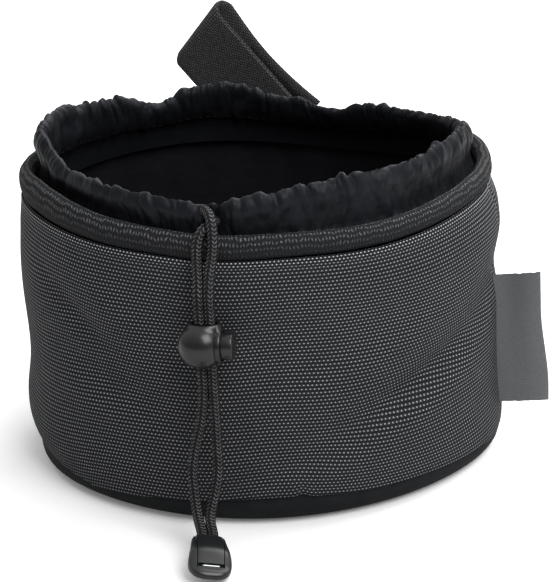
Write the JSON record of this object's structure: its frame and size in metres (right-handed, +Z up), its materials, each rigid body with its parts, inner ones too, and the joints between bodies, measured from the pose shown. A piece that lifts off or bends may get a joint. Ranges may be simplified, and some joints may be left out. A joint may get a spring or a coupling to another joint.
{
  "type": "peg bag",
  "caption": "Round open fabric bag for clothes pegs, with a drawstring collar, spring cord lock, hinged cord end, side label and a folded hanging strap.",
  "frame": {"origin": "middle of the base on the floor", "axes": "+Z up, -Y towards the front where the drawstring comes out, +X to the right where the label is, strap at +Y"},
  "size_m": [0.2123, 0.2504, 0.1607],
  "materials": {
    "base_cloth": "matt coated",
    "board": "matt",
    "lining": "soft sheen",
    "dotted_cloth": "matt with small pale dots",
    "rim_webbing": "coarse weave",
    "collar_cloth": "soft sheen",
    "cord": "braided",
    "lock_plastic": "satin",
    "spring_steel": "drawn wire",
    "cord_end_plastic": "satin",
    "label_tape": "woven tape",
    "strap_webbing": "fuzzy weave",
    "hook_tape": "fine hooks",
    "loop_tape": "fuzzy loops"
  },
  "bodies": {
    "bag": {"base_panel": "base_cloth", "base_board": "board", "base_lining": "lining", "body_panel": "dotted_cloth", "body_lining": "lining", "rim_band": "rim_webbing", "collar": "collar_cloth", "drawstring_loop": "cord", "drawstring_left": "cord", "drawstring_right": "cord", "drawstring_knot": "cord", "cord_end_body": "cord_end_plastic", "strap_tab": "strap_webbing"},
    "cord_lock": {"cord_lock_body": "lock_plastic", "cord_lock_spring": "spring_steel"},
    "cord_lock_button": {"cord_lock_plunger": "lock_plastic"},
    "cord_end_lid": {"cord_end_cover": "cord_end_plastic"},
    "label": {"side_label": "label_tape"},
    "strap": {"strap_leg": "strap_webbing", "loop_tape": "loop_tape"},
    "strap_end": {"strap_flap": "strap_webbing", "hook_tape": "hook_tape"}
  },
  "joints": [
    {"name": "cord_lock_slide", "type": "slide", "parent": "bag", "child": "cord_lock", "axis": [0, 0, 1], "range_m": [-0.011, 0.011]},
    {"name": "cord_lock_press", "type": "slide", "parent": "cord_lock", "child": "cord_lock_button", "axis": [-1, 0, 0], "range_m": [0, 0.0018], "stiffness_N_per_m": 600, "springref_m": -0.002, "deforming": ["cord_lock_spring"]},
    {"name": "cord_end_open", "type": "hinge", "parent": "bag", "child": "cord_end_lid", "pos_m": [0.00521, -0.13867, 0.00659], "axis": [0.9379, 0.2924, -0.1866], "range_deg": [0, 70]},
    {"name": "label_flip", "type": "hinge", "parent": "bag", "child": "label", "pos_m": [0.0969, 0, 0.04425], "axis": [0, 0, 1], "range_deg": [-55, 55]},
    {"name": "strap_swing", "type": "hinge", "parent": "bag", "child": "strap", "pos_m": [0, 0.09825, 0.08115], "axis": [-1, 0, 0], "range_deg": [0, 110]},
    {"name": "strap_peel", "type": "hinge", "parent": "strap", "child": "strap_end", "pos_m": [-0.03866, 0.10565, 0.14588], "axis": [0.6613, 0, 0.7501], "range_deg": [0, 150]}
  ]
}
